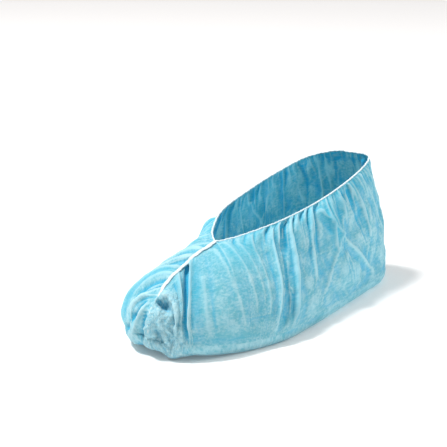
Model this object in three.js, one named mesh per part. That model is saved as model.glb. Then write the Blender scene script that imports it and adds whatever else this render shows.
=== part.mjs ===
// A disposable shoe cover of thin non-woven cloth, in the form it has when it is worn over a low boot.
// One folded sheet makes the sole, the two sides and the toe. A white overlocked seam closes it from the
// toe's foot up the instep, and an elastic thread, bound into the hem, gathers the opening round the ankle.
// Millimetres, +Z up, the toe towards -Y and the wearer's left towards +X.
// The origin is on the inner face of the sole, midway along it, where the boot stands.
import * as THREE from "three";
import { mergeVertices } from "three/addons/utils/BufferGeometryUtils.js";

// ---- driving sizes
const WALL = 1.1; // the cloth with its crinkles
const GAP = 0.3; // between one piece and the next
const TOE_Y = -156;
const HEEL_Y = 157;
const SIDE_LENGTH = 373; // round one side of the sole, from toe to heel
const SOLE_ROUND = 9; // radius where the wall turns under the sole
const TOE_SPRING = 7; // how far the sole lifts at the toe
const SPRING_LENGTH = 70; // the stretch of sole over which it lifts
const CENTRE_SHARE = 0.8; // the sole's centre line is this share of its length
const APEX = { x: 8, y: -82, z: 75 }; // the front of the opening, where the seam ends
const HEEL_TOP = { y: 134, z: 105 }; // the back of the opening
const RIM_HALF_WIDTH = 34;
const SEAM_SHARE = 0.38; // the share of each side, from toe to heel, whose top edge is the seam
const ELASTIC = { across: 2.4, deep: 2.6 }; // the hem's bead
const SEAM = { across: 3.0, deep: 2.2 }; // the instep seam's ridge

// ---- mesh fineness
const COLUMNS = 46; // on each side, from toe to heel
const WALL_ROWS = 14; // from the top edge down to the sole
const ROUND_ROWS = 3;
const SOLE_ROWS = 3;
const BEAD_STEPS = 108;
const SEAM_STEPS = 32;
const BEAD_SIDES = 8;
const NORMAL_BLEND = 4; // bead steps to each side over which the wall's direction is averaged
const LOOKUP_STEPS = 400; // along each guiding curve
const TENSION = 0.5; // of the guiding curves
const PROBE = 0.01; // the share of a line over which its direction is measured
const MERGE = 1e-3; // corners nearer than this are one

// ---- how the folds and trims end
const FOLD_FADE = 0.05; // the share of a side, at the toe and the heel, over which folds die away
const FOLD_ENDS = 0.7; // below 1, a fold keeps its height for most of its run
const HEM_REACH = 0.05; // the share of the wall, below the top edge, that the hem lies along
const SEAM_END = 0.975; // the seam's ridge stops at this share of its line, short of the hem

// The sole's outline: how far each station is behind the toe's tip, and its reach to each side.
const SOLE_STATIONS = [
  { name: "toe_corner", back: 8, left: 28, right: 28 },
  { name: "toe_side", back: 34, left: 47, right: 47 },
  { name: "ball", back: 84, left: 63, right: 62 },
  { name: "instep", back: 130, left: 63, right: 56 },
  { name: "waist", back: 190, left: 57, right: 48 },
  { name: "heel_front", back: 240, left: 51, right: 45 },
  { name: "heel_side", back: 276, left: 48, right: 45 },
  { name: "heel_corner", back: 304, left: 30, right: 30 },
];

// The seam from the toe's foot, on the edge of the sole, to the opening: the cloth's ridge under it.
const SEAM_STATIONS = [
  { name: "nose", x: 0, y: -161, z: 21 },
  { name: "brow", x: 0, y: -158, z: 35 },
  { name: "crown", x: 0, y: -140, z: 51 },
  { name: "vamp", x: 4, y: -111, z: 66 },
];

// The opening: how far each station is along the way from apex to heel top, its share of the rim's half
// width to each side, and its share of the rise.
const RIM_STATIONS = [
  { name: "throat", along: 0.025, left: 0.2, right: 0.16, rise: 0.02 },
  { name: "front", along: 0.1, left: 0.5, right: 0.43, rise: 0.09 },
  { name: "instep", along: 0.28, left: 0.86, right: 0.84, rise: 0.23 },
  { name: "ankle", along: 0.5, left: 1.0, right: 1.0, rise: 0.41 },
  { name: "quarter", along: 0.7, left: 1.0, right: 1.0, rise: 0.64 },
  { name: "counter", along: 0.88, left: 0.86, right: 0.86, rise: 0.88 },
  { name: "back", along: 0.98, left: 0.5, right: 0.5, rise: 1.0 },
];

// How boxy the wall's profile is on each side, from 1 for a straight slope to 3 for a square shoulder.
const PROFILE_STATIONS = [
  { around: 0, left: 2.4, right: 2.4 },
  { around: 0.1, left: 2.4, right: 2.4 },
  { around: 0.34, left: 1.9, right: 1.7 },
  { around: 0.65, left: 1.5, right: 1.5 },
  { around: 0.85, left: 1.5, right: 1.5 },
  { around: 1, left: 1.6, right: 1.6 },
];

// The main folds: where each leaves the top edge and where it ends at the sole, as shares of the side from
// toe to heel, how fast it bends over from one to the other (1 is straight), the stretch of the wall that it
// shows on, and its width and depth in millimetres (a channel's depth is negative).
const FOLDS = [
  { name: "toe_bunch", side: 1, top: 0.06, foot: 0.05, bend: 1, from: 0.1, to: 1, width: 9, depth: 3 },
  { name: "toe_tuck", side: 1, top: 0.16, foot: 0.03, bend: 1.3, from: 0.03, to: 0.8, width: 8, depth: -4 },
  { name: "toe_pleat", side: 1, top: 0.29, foot: 0.08, bend: 2.5, from: 0.03, to: 1, width: 9, depth: 4 },
  { name: "toe_dent", side: 1, top: 0.33, foot: 0.13, bend: 2.2, from: 0.1, to: 0.8, width: 14, depth: -3 },
  { name: "side_pleat", side: 1, top: 0.53, foot: 0.29, bend: 1.4, from: 0.02, to: 1, width: 7, depth: 3 },
  { name: "side_channel", side: 1, top: 0.557, foot: 0.315, bend: 1.4, from: 0.02, to: 1, width: 6, depth: -3 },
  { name: "side_ridge", side: 1, top: 0.585, foot: 0.34, bend: 1.4, from: 0.02, to: 1, width: 7, depth: 3 },
  { name: "quarter_pleat", side: 1, top: 0.65, foot: 0.43, bend: 1.4, from: 0.1, to: 0.9, width: 8, depth: 2.5 },
  { name: "quarter_dent", side: 1, top: 0.68, foot: 0.78, bend: 1, from: 0.1, to: 0.9, width: 14, depth: -3 },
  { name: "crossing_pleat", side: 1, top: 0.76, foot: 0.5, bend: 1.2, from: 0.3, to: 0.9, width: 9, depth: 2 },
  { name: "heel_pleat", side: 1, top: 0.9, foot: 0.87, bend: 1, from: 0.02, to: 0.6, width: 9, depth: 2.5 },
  { name: "vamp_tuck", side: -1, top: 0.18, foot: 0.1, bend: 1.6, from: 0.03, to: 0.9, width: 10, depth: -3 },
  { name: "vamp_pleat", side: -1, top: 0.26, foot: 0.14, bend: 1.6, from: 0.03, to: 0.9, width: 10, depth: 2 },
  { name: "inner_pleat", side: -1, top: 0.55, foot: 0.36, bend: 1.3, from: 0.02, to: 0.9, width: 9, depth: 2.5 },
  { name: "inner_dent", side: -1, top: 0.6, foot: 0.42, bend: 1.3, from: 0.05, to: 0.9, width: 12, depth: -3 },
  { name: "inner_heel_pleat", side: -1, top: 0.82, foot: 0.72, bend: 1, from: 0.02, to: 0.8, width: 10, depth: 2.5 },
];

const V3 = (x, y, z) => new THREE.Vector3(x, y, z);

// A smooth closed curve through its points, and a lookup of one stretch of a curve by share of its length.
function loopThrough(points) {
  return new THREE.CatmullRomCurve3(points, true, "catmullrom", TENSION);
}

function stretchOf(curve, from, to) {
  const points = [];
  const lengths = [0];
  for (let i = 0; i <= LOOKUP_STEPS; i++) {
    points.push(curve.getPoint(from + ((to - from) * i) / LOOKUP_STEPS));
    if (i > 0) lengths.push(lengths[i - 1] + points[i].distanceTo(points[i - 1]));
  }
  return (share) => {
    const wanted = THREE.MathUtils.clamp(share, 0, 1) * lengths[LOOKUP_STEPS];
    let i = 1;
    while (i < LOOKUP_STEPS && lengths[i] < wanted) i++;
    const part = (wanted - lengths[i - 1]) / (lengths[i] - lengths[i - 1]);
    return points[i - 1].clone().lerp(points[i], THREE.MathUtils.clamp(part, 0, 1));
  };
}

// Both halves of a loop that starts at its front point: left from front to back, right the other way round.
function halvesOf(loop, backIndex, count) {
  const turn = backIndex / count;
  return { left: stretchOf(loop, 0, turn), right: stretchOf(loop, 1, turn) };
}

function soleOutline() {
  const left = SOLE_STATIONS.map((s) => V3(s.left, TOE_Y + s.back, 0));
  const right = SOLE_STATIONS.map((s) => V3(-s.right, TOE_Y + s.back, 0)).reverse();
  const points = [V3(0, TOE_Y, 0), ...left, V3(0, HEEL_Y, 0), ...right];
  return halvesOf(loopThrough(points), left.length + 1, points.length);
}

function rimPoint(station, side) {
  const out = side * (side > 0 ? station.left : station.right);
  const y = THREE.MathUtils.lerp(APEX.y, HEEL_TOP.y, station.along);
  const z = THREE.MathUtils.lerp(APEX.z, HEEL_TOP.z, station.rise);
  return V3(out * RIM_HALF_WIDTH + APEX.x * (1 - Math.abs(out)), y, z);
}

function rimOutline() {
  const left = RIM_STATIONS.map((s) => rimPoint(s, 1));
  const right = RIM_STATIONS.map((s) => rimPoint(s, -1)).reverse();
  const points = [V3(APEX.x, APEX.y, APEX.z), ...left, V3(0, HEEL_TOP.y, HEEL_TOP.z), ...right];
  return halvesOf(loopThrough(points), left.length + 1, points.length);
}

function seamLine() {
  const points = [soleEdge(1, 0), ...SEAM_STATIONS.map((s) => V3(s.x, s.y, s.z))];
  points.push(V3(APEX.x, APEX.y, APEX.z));
  return stretchOf(new THREE.CatmullRomCurve3(points, false, "catmullrom", TENSION), 0, 1);
}

const sole = soleOutline();
const rim = rimOutline();
const seam = seamLine();

function lookUp(table, key, value, x) {
  let i = 1;
  while (i < table.length - 1 && table[i][key] < x) i++;
  const [a, b] = [table[i - 1], table[i]];
  const part = THREE.MathUtils.clamp((x - a[key]) / (b[key] - a[key]), 0, 1);
  return THREE.MathUtils.lerp(a[value], b[value], part);
}

function soleLift(y) {
  const share = THREE.MathUtils.clamp((TOE_Y + SPRING_LENGTH - y) / SPRING_LENGTH, 0, 1);
  return TOE_SPRING * share * share;
}

// The top edge and the sole's edge of one side, at a share of the way from toe to heel.
function topEdge(side, around) {
  if (around <= SEAM_SHARE) return seam(around / SEAM_SHARE);
  const share = (around - SEAM_SHARE) / (1 - SEAM_SHARE);
  return side > 0 ? rim.left(share) : rim.right(share);
}

function soleEdge(side, around) {
  const p = side > 0 ? sole.left(around) : sole.right(around);
  return p.setZ(soleLift(p.y) + SOLE_ROUND - WALL);
}

// The smooth wall: a rounded profile from the top edge (down = 0) to the sole's edge (down = 1).
function wallPoint(side, around, down) {
  const top = topEdge(side, around);
  const edge = soleEdge(side, around);
  const power = 2 / lookUp(PROFILE_STATIONS, "around", side > 0 ? "left" : "right", around);
  const angle = (down * Math.PI) / 2;
  const out = Math.sin(angle) ** power;
  const fall = 1 - Math.abs(Math.cos(angle)) ** power;
  const step = edge.sub(top);
  return top.add(V3(step.x * out, step.y * out, step.z * fall));
}

function wallNormal(side, around, down) {
  const [a0, a1] = [Math.max(0, around - PROBE), Math.min(1, around + PROBE)];
  const [b0, b1] = [Math.max(0, down - PROBE), Math.min(1, down + PROBE)];
  const along = wallPoint(side, a1, down).sub(wallPoint(side, a0, down));
  const fall = wallPoint(side, around, b1).sub(wallPoint(side, around, b0));
  return fall.cross(along).multiplyScalar(side).normalize();
}

// How far the folds push the wall out of its smooth form.
function foldHeight(side, around, down) {
  let height = 0;
  for (const fold of FOLDS) {
    if (fold.side !== side) continue;
    const middle = fold.foot + (fold.top - fold.foot) * (1 - down) ** fold.bend;
    const across = ((around - middle) * SIDE_LENGTH) / fold.width;
    const run = THREE.MathUtils.clamp((down - fold.from) / (fold.to - fold.from), 0, 1);
    height += fold.depth * Math.exp(-across * across) * Math.sin(run * Math.PI) ** FOLD_ENDS;
  }
  return height * Math.min(1, around / FOLD_FADE) * Math.min(1, (1 - around) / FOLD_FADE);
}

// One column of the sheet: down the wall, round its foot and in to the sole's centre line.
function columnOf(side, around) {
  const points = [];
  for (let j = 0; j <= WALL_ROWS; j++) {
    const down = j / WALL_ROWS;
    const p = wallPoint(side, around, down);
    if (j > 0 && j < WALL_ROWS) {
      p.addScaledVector(wallNormal(side, around, down), foldHeight(side, around, down));
    }
    points.push(p);
  }
  const edge = soleEdge(side, around);
  const centreY = THREE.MathUtils.lerp(TOE_Y, HEEL_Y, around) * CENTRE_SHARE;
  const centre = V3(0, centreY, soleLift(centreY) - WALL);
  const inward = V3(centre.x - edge.x, centre.y - edge.y, 0).normalize();
  for (let j = 1; j <= ROUND_ROWS; j++) {
    const angle = (j / ROUND_ROWS) * (Math.PI / 2);
    const p = edge.clone().addScaledVector(inward, SOLE_ROUND * (1 - Math.cos(angle)));
    points.push(p.setZ(soleLift(p.y) - WALL + SOLE_ROUND * (1 - Math.sin(angle))));
  }
  const foot = points[points.length - 1];
  for (let j = 1; j <= SOLE_ROWS; j++) {
    const p = foot.clone().lerp(centre, j / SOLE_ROWS);
    points.push(p.setZ(soleLift(p.y) - WALL));
  }
  return points;
}

// The cloth as an open sheet: both sides share the seam, the toe, the heel and the sole's centre line.
function clothSheet() {
  const positions = [];
  const corner = (p) => positions.push(p.x, p.y, p.z);
  for (const side of [1, -1]) {
    const columns = [];
    for (let i = 0; i <= COLUMNS; i++) columns.push(columnOf(side, i / COLUMNS));
    for (let i = 0; i < COLUMNS; i++) {
      for (let j = 0; j < columns[i].length - 1; j++) {
        const [a, b] = [columns[i][j], columns[i + 1][j]];
        const [c, d] = [columns[i][j + 1], columns[i + 1][j + 1]];
        const halves = a.distanceTo(d) < b.distanceTo(c) ? [a, c, d, a, d, b] : [a, c, b, b, c, d];
        if (side < 0) halves.reverse();
        halves.forEach(corner);
      }
    }
  }
  const sheet = new THREE.BufferGeometry();
  sheet.setAttribute("position", new THREE.Float32BufferAttribute(positions, 3));
  const merged = mergeVertices(sheet, MERGE);
  merged.computeVertexNormals();
  return merged;
}

// A wall of even thickness: the sheet, its inner copy turned round, and a strip along each free edge.
function thicken(sheet, thickness) {
  const outer = sheet.getAttribute("position");
  const normal = sheet.getAttribute("normal");
  const count = outer.count;
  const positions = [...outer.array];
  for (let i = 0; i < count; i++) {
    positions.push(outer.getX(i) - normal.getX(i) * thickness);
    positions.push(outer.getY(i) - normal.getY(i) * thickness);
    positions.push(outer.getZ(i) - normal.getZ(i) * thickness);
  }
  const faces = [];
  const edges = new Map();
  const source = sheet.index.array;
  for (let i = 0; i < source.length; i += 3) {
    const [a, b, c] = [source[i], source[i + 1], source[i + 2]];
    if (a === b || b === c || c === a) continue;
    faces.push(a, b, c, a + count, c + count, b + count);
    for (const [p, q] of [[a, b], [b, c], [c, a]]) {
      const twin = `${q},${p}`;
      if (edges.has(twin)) edges.delete(twin);
      else edges.set(`${p},${q}`, [p, q]);
    }
  }
  for (const [p, q] of edges.values()) {
    faces.push(q, p, p + count, q, p + count, q + count);
  }
  const shell = new THREE.BufferGeometry();
  shell.setAttribute("position", new THREE.Float32BufferAttribute(positions, 3));
  shell.setIndex(faces);
  return shell;
}

// A bead of oval section along a line of frames {at, out, up}: closed on itself, or with flat ends.
function bead(frames, section, closed) {
  const positions = [];
  const faces = [];
  for (const frame of frames) {
    for (let k = 0; k < BEAD_SIDES; k++) {
      const angle = (k / BEAD_SIDES) * Math.PI * 2;
      const p = frame.at.clone();
      p.addScaledVector(frame.out, (Math.cos(angle) * section.across) / 2);
      p.addScaledVector(frame.up, (Math.sin(angle) * section.deep) / 2);
      positions.push(p.x, p.y, p.z);
    }
  }
  const rings = frames.length;
  for (let i = 0; i < (closed ? rings : rings - 1); i++) {
    const [near, far] = [i * BEAD_SIDES, ((i + 1) % rings) * BEAD_SIDES];
    for (let k = 0; k < BEAD_SIDES; k++) {
      const next = (k + 1) % BEAD_SIDES;
      faces.push(near + k, far + k, near + next, near + next, far + k, far + next);
    }
  }
  if (!closed) {
    const last = (rings - 1) * BEAD_SIDES;
    for (let k = 1; k < BEAD_SIDES - 1; k++) {
      faces.push(0, k, k + 1, last, last + k + 1, last + k);
    }
  }
  const geometry = new THREE.BufferGeometry();
  geometry.setAttribute("position", new THREE.Float32BufferAttribute(positions, 3));
  geometry.setIndex(faces);
  return geometry;
}

// The hem: its bead stands on the cloth's top edge and carries on the surface of the wall below it.
function elasticFrames() {
  const edges = [];
  const normals = [];
  for (let i = 0; i < BEAD_STEPS; i++) {
    const turn = i / BEAD_STEPS;
    const side = turn < 0.5 ? 1 : -1;
    const share = turn < 0.5 ? turn * 2 : 2 - turn * 2;
    const around = SEAM_SHARE + share * (1 - SEAM_SHARE);
    edges.push(topEdge(side, around));
    normals.push(wallNormal(side, around, HEM_REACH));
  }
  const at = (list, i) => list[(i + BEAD_STEPS) % BEAD_STEPS];
  return edges.map((edge, i) => {
    const tangent = at(edges, i + 1).clone().sub(at(edges, i - 1)).normalize();
    const out = V3(0, 0, 0);
    for (let k = -NORMAL_BLEND; k <= NORMAL_BLEND; k++) out.add(at(normals, i + k));
    out.projectOnPlane(tangent).normalize();
    const up = out.clone().cross(tangent).normalize();
    const centre = edge.clone().addScaledVector(out, -WALL / 2);
    centre.addScaledVector(up, ELASTIC.deep / 2 + 2 * GAP);
    return { at: centre, out, up };
  });
}

// The seam's ridge lies on the cloth from the toe's foot up to the hem.
function seamFrames() {
  const frames = [];
  for (let i = 0; i <= SEAM_STEPS; i++) {
    const share = (i / SEAM_STEPS) * SEAM_END;
    const ahead = seam(Math.min(1, share + PROBE));
    const tangent = ahead.sub(seam(Math.max(0, share - PROBE))).normalize();
    const out = V3(1, 0, 0).projectOnPlane(tangent).normalize();
    const up = out.clone().cross(tangent).normalize();
    const at = seam(share).addScaledVector(up, SEAM.deep / 2 + GAP);
    frames.push({ at, out, up });
  }
  return frames;
}

function piece(name, geometry, material) {
  const mesh = new THREE.Mesh(geometry, material);
  mesh.name = name;
  return mesh;
}

const cloth = new THREE.MeshStandardMaterial({ color: 0x7ccbe3, roughness: 0.75, metalness: 0 });
const whiteThread = new THREE.MeshStandardMaterial({ color: 0xf2f5f6, roughness: 0.7, metalness: 0 });

const shoeCover = new THREE.Group();
shoeCover.add(piece("cover_body", thicken(clothSheet(), WALL), cloth));
shoeCover.add(piece("opening_elastic", bead(elasticFrames(), ELASTIC, true), whiteThread));
shoeCover.add(piece("instep_seam", bead(seamFrames(), SEAM, false), whiteThread));

export default shoeCover;
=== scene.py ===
# %% [markdown]
# # A disposable shoe cover
# A shoe cover is the cheapest garment there is: one sheet of thin blue spunbond cloth, folded along the sole,
# sewn up at the front with white thread and gathered at the top by an elastic. Worn over a boot it is all
# folds. This lesson makes it in the order in which the real one is made: the shape that the boot gives it,
# the folds, the cloth itself, the white seam, the white hem, and last the light.
# The CAD frame gives the sizes; Blender works in metres, in the frame's own place.

# %% Load the frame
import math

import bmesh
import bpy
import numpy as np
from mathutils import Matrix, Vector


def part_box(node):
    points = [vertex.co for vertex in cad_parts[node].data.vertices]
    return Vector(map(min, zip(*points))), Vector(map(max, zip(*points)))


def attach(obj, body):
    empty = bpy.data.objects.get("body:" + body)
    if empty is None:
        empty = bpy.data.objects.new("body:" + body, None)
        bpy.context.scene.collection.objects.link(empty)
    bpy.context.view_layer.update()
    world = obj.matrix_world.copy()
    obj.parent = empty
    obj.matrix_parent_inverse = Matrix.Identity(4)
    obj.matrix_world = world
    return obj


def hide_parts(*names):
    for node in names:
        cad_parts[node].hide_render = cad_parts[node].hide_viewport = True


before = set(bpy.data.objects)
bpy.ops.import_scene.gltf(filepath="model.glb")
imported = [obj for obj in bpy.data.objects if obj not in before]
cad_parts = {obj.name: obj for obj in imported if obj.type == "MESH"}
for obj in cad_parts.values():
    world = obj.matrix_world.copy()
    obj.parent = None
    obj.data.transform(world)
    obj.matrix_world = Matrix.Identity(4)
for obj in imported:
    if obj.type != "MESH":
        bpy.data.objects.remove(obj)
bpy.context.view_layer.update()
MM = 0.001

# %% [markdown]
# ## The camera
# A long lens from about a metre and a half, level with a person kneeling on the floor, turned to the outer
# side of the toe. It is made first.

# %% Camera
CAMERA_AZIMUTH = math.radians(34.0)
CAMERA_ELEVATION = math.radians(14.6)
CAMERA_DISTANCE = 1.5
CAMERA_LENS = 147.5
CAMERA_TARGET = np.array([-0.0402, 0.0, 0.0644])

towards_camera = np.array([
    math.sin(CAMERA_AZIMUTH) * math.cos(CAMERA_ELEVATION),
    -math.cos(CAMERA_AZIMUTH) * math.cos(CAMERA_ELEVATION),
    math.sin(CAMERA_ELEVATION),
])
camera_data = bpy.data.cameras.new("camera")
camera_data.lens = CAMERA_LENS
camera_data.sensor_width = 36.0
camera_data.clip_end = 20.0
camera = bpy.data.objects.new("camera", camera_data)
camera.location = CAMERA_TARGET + towards_camera * CAMERA_DISTANCE
camera.rotation_euler = (math.pi / 2 - CAMERA_ELEVATION, 0.0, CAMERA_AZIMUTH)
bpy.context.scene.collection.objects.link(camera)
bpy.context.scene.camera = camera
print("camera at", [round(v, 3) for v in camera.location])

# %% [markdown]
# ## The shape that the boot gives the cloth
# The boot inside decides the large form: the outline of its sole, the height of its toe, the slope of the
# opening. Three smooth lines carry all of that. They could be drawn as Blender curves, but a loop through a
# short table of stations is easier to change and can be asked for any point along its length.
# All of these tables are in millimetres.

# %% Driving sizes, in millimetres
TOE_Y, HEEL_Y = -156.0, 157.0
SOLE_ROUND = 9.0  # radius where the wall turns under the sole
TOE_SPRING, SPRING_LENGTH = 7.0, 70.0  # how far the sole lifts at the toe, and over what stretch
CENTRE_SHARE = 0.8  # the sole's centre line is this share of its length
APEX = (8.0, -82.0, 75.0)  # the front of the opening, where the seam ends
HEEL_TOP = (0.0, 134.0, 105.0)  # the back of the opening
RIM_HALF_WIDTH = 34.0
SEAM_SHARE = 0.38  # the share of each side, from toe to heel, whose top edge is the seam
FLOOR_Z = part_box("cover_body")[0][2] / MM  # the underside of the sole

SOLE_STATIONS = [  # behind the toe, reach to the left, reach to the right
    (8, 28, 28), (34, 47, 47), (84, 63, 62), (130, 63, 56),
    (190, 57, 48), (240, 51, 45), (276, 45, 43), (304, 26, 26),
]
SEAM_STATIONS = [(0, -161, 21), (0, -158, 35), (0, -140, 51), (4, -111, 66)]
RIM_STATIONS = [  # along from apex to heel, share of half width left and right, share of the rise
    (0.025, 0.20, 0.16, 0.02), (0.10, 0.50, 0.43, 0.09), (0.28, 0.86, 0.84, 0.23), (0.50, 1.0, 1.0, 0.41),
    (0.70, 1.0, 1.0, 0.64), (0.88, 0.86, 0.86, 0.88), (0.98, 0.50, 0.50, 1.0),
]
PROFILE_STATIONS = np.array([  # around from toe to heel, how boxy the wall is on the left and on the right
    (0.0, 2.4, 2.4), (0.1, 2.4, 2.4), (0.34, 1.9, 1.7), (0.65, 1.5, 1.5), (0.85, 1.5, 1.5), (1.0, 1.6, 1.6),
])


# %% Smooth lines that can be asked for a point at any share of their length
def spline_points(controls, index, part):
    """Catmull-Rom: a smooth line through its control points, between controls[index + 1] and the next."""
    before, start, end, after = (controls[index + k] for k in range(4))
    part = part[:, None]
    return 0.5 * (
        2 * start + (end - before) * part + (2 * before - 5 * start + 4 * end - after) * part**2
        + (3 * start - before - 3 * end + after) * part**3
    )


def line_through(points, closed=False, steps=3200):
    points = np.array(points, float)
    if closed:
        spans = len(points)
        controls = np.vstack([points[-1:], points, points[:2]])
    else:
        spans = len(points) - 1
        controls = np.vstack([2 * points[:1] - points[1:2], points, 2 * points[-1:] - points[-2:-1]])
    place = np.linspace(0, spans, steps + 1)
    index = np.minimum(place.astype(int), spans - 1)
    return spline_points(controls, index, place - index)


class Line:
    """A line that is read by share of its length."""

    def __init__(self, points):
        self.points = points
        steps = np.linalg.norm(np.diff(points, axis=0), axis=1)
        self.lengths = np.concatenate([[0], np.cumsum(steps)])
        self.length = self.lengths[-1]

    def at(self, share):
        wanted = np.clip(np.asarray(share, float), 0, 1) * self.length
        return np.stack([np.interp(wanted, self.lengths, self.points[:, k]) for k in range(3)], -1)


def two_sides(front, left, back, right):
    """Both halves of a closed loop, each from its front point to its back point."""
    loop = line_through([front, *left, back, *right[::-1]], closed=True)
    turn = round(len(loop) * (len(left) + 1) / (len(left) + len(right) + 2))
    return {1: Line(loop[:turn + 1]), -1: Line(loop[turn:][::-1])}


def rim_point(station, side):
    along, left, right, rise = station
    out = side * (left if side > 0 else right)
    return (
        out * RIM_HALF_WIDTH + APEX[0] * (1 - abs(out)),
        APEX[1] + (HEEL_TOP[1] - APEX[1]) * along,
        APEX[2] + (HEEL_TOP[2] - APEX[2]) * rise,
    )


def toe_lift(y):
    share = np.clip((TOE_Y + SPRING_LENGTH - y) / SPRING_LENGTH, 0, 1)
    return TOE_SPRING * share**2


sole_line = two_sides(
    (0, TOE_Y, 0), [(left, TOE_Y + back, 0) for back, left, right in SOLE_STATIONS],
    (0, HEEL_Y, 0), [(-right, TOE_Y + back, 0) for back, left, right in SOLE_STATIONS],
)
rim_line = two_sides(
    APEX, [rim_point(s, 1) for s in RIM_STATIONS], HEEL_TOP, [rim_point(s, -1) for s in RIM_STATIONS],
)
toe_foot = (0, TOE_Y, TOE_SPRING + SOLE_ROUND + FLOOR_Z)
seam_line = Line(line_through([toe_foot, *SEAM_STATIONS, APEX]))
print(f"rim {2 * rim_line[1].length:.0f} mm round, seam {seam_line.length:.0f} mm")

# %% [markdown]
# ## One grid for the whole sheet
# The cloth is one ring of columns. Each column starts on the seam or on the hem, runs down the wall, turns
# under at the foot and ends on the sole's centre line. A regular grid is what a cloth solver likes best:
# the thread directions are the grid's own, and whole rows of it can be worked on in one go.

# %% The grid's fineness
SEAM_COLUMNS, RIM_COLUMNS = 84, 196  # on each side
WALL_ROWS, ROUND_ROWS, SOLE_ROWS = 62, 4, 9
SIDE_COLUMNS = SEAM_COLUMNS + RIM_COLUMNS
side_around = np.concatenate([
    np.linspace(0, SEAM_SHARE, SEAM_COLUMNS + 1), np.linspace(SEAM_SHARE, 1, RIM_COLUMNS + 1)[1:],
])


def top_edge(side, around):
    rim = rim_line[side].at((around - SEAM_SHARE) / (1 - SEAM_SHARE))
    return np.where((around <= SEAM_SHARE)[..., None], seam_line.at(around / SEAM_SHARE), rim)


def sole_edge(side, around):
    edge = sole_line[side].at(around)
    edge[..., 2] = toe_lift(edge[..., 1]) + SOLE_ROUND + FLOOR_Z
    return edge


def wall_points(side, around, down):
    """A rounded profile from the top edge to the sole's edge, with down from 0 to 1."""
    top = top_edge(side, around)
    power = 2 / np.interp(around, PROFILE_STATIONS[:, 0], PROFILE_STATIONS[:, 1 if side > 0 else 2])
    angle = down * math.pi / 2
    out = np.sin(angle)**power
    fall = 1 - np.abs(np.cos(angle))**power
    return top + (sole_edge(side, around) - top) * np.stack([out, out, fall], -1)


# Cloth that is pulled forward by the toe folds along leaning lines: a column leaves the top edge at one share
# of the side and meets the sole at another. Rows are: top, foot, how fast it bends over between the two.
COLUMN_LEAN = {
    1: np.array([
        (0.0, 0.0, 1.0), (0.10, 0.030, 1.6), (0.16, 0.046, 2.2), (0.22, 0.064, 3.0), (0.29, 0.092, 3.6),
        (0.32, 0.122, 2.9), (0.36, 0.172, 2.4), (0.40, 0.222, 1.9), (0.46, 0.252, 1.5), (0.53, 0.284, 1.25),
        (0.585, 0.335, 1.1), (0.65, 0.44, 1.2), (0.70, 0.55, 1.2), (0.80, 0.755, 1.1), (0.875, 0.875, 1.0),
        (1.0, 1.0, 1.0),
    ]),
    -1: np.array([
        (0.0, 0.0, 1.0), (0.10, 0.034, 1.0), (0.17, 0.062, 0.9), (0.24, 0.095, 0.8), (0.34, 0.155, 0.75),
        (0.42, 0.235, 0.8), (0.52, 0.38, 1.0), (0.62, 0.52, 1.1), (0.70, 0.63, 1.1), (0.82, 0.78, 1.0),
        (0.92, 0.91, 1.0), (1.0, 1.0, 1.0),
    ]),
}


def leaning(side, down):
    """The share of the side at which each column is, at each share of the way down."""
    foot, bend = (np.interp(side_around, COLUMN_LEAN[side][:, 0], COLUMN_LEAN[side][:, k]) for k in (1, 2))
    return foot[:, None] + (side_around - foot)[:, None] * (1 - down)[None, :] ** bend[:, None]


LEAN_STEPS = 241  # points along a column before it is divided evenly
NUDGE = 1e-9  # a length or a share that is too small to see


def side_grid(side):
    down = np.linspace(0, 1, LEAN_STEPS)
    fine = wall_points(side, leaning(side, down), down[None, :])
    rows = np.linspace(0, 1, WALL_ROWS + 1)
    # the first column is a single point, so each point is nudged apart before its line is measured
    wall = np.stack([Line(column).at(rows) for column in fine + NUDGE * down[None, :, None]])
    edge = wall[:, -1]
    foot_share = (leaning(1, np.ones(1)) + leaning(-1, np.ones(1)))[:, 0] / 2
    centre = np.zeros_like(edge)
    centre[:, 1] = (TOE_Y + (HEEL_Y - TOE_Y) * foot_share) * CENTRE_SHARE
    centre[:, 2] = toe_lift(centre[:, 1]) + FLOOR_Z
    inward = centre[:, :2] - edge[:, :2]
    inward /= np.linalg.norm(inward, axis=1, keepdims=True)
    columns = [wall]
    for j in range(1, ROUND_ROWS + 1):
        angle = j / ROUND_ROWS * math.pi / 2
        turn = edge.copy()
        turn[:, :2] += inward * SOLE_ROUND * (1 - math.cos(angle))
        turn[:, 2] = toe_lift(turn[:, 1]) + FLOOR_Z + SOLE_ROUND * (1 - math.sin(angle))
        columns.append(turn[:, None])
    foot = columns[-1][:, 0]
    for j in range(1, SOLE_ROWS + 1):
        flat = foot + (centre - foot) * j / SOLE_ROWS
        flat[:, 2] = toe_lift(flat[:, 1]) + FLOOR_Z
        columns.append(flat[:, None])
    return np.concatenate(columns, axis=1)


left_grid, right_grid = side_grid(1), side_grid(-1)
form = np.concatenate([left_grid, right_grid[-2:0:-1]])  # the ring: up the left side, back on the right
ring_around = np.concatenate([side_around, side_around[-2:0:-1]])
ring_side = np.concatenate([np.ones(SIDE_COLUMNS + 1), -np.ones(SIDE_COLUMNS - 1)])
down_share = np.clip(np.arange(form.shape[1]) / WALL_ROWS, 0, 1)
wall_length = np.linalg.norm(np.diff(form[:, :WALL_ROWS + 1], axis=1), axis=2).sum(axis=1)
from_top = wall_length[:, None] * down_share[None, :]  # millimetres down from the top edge
print("grid", form.shape[:2], f"columns and rows, wall {wall_length.min():.0f} to {wall_length.max():.0f} mm")


SMALL = 1e-6


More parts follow.
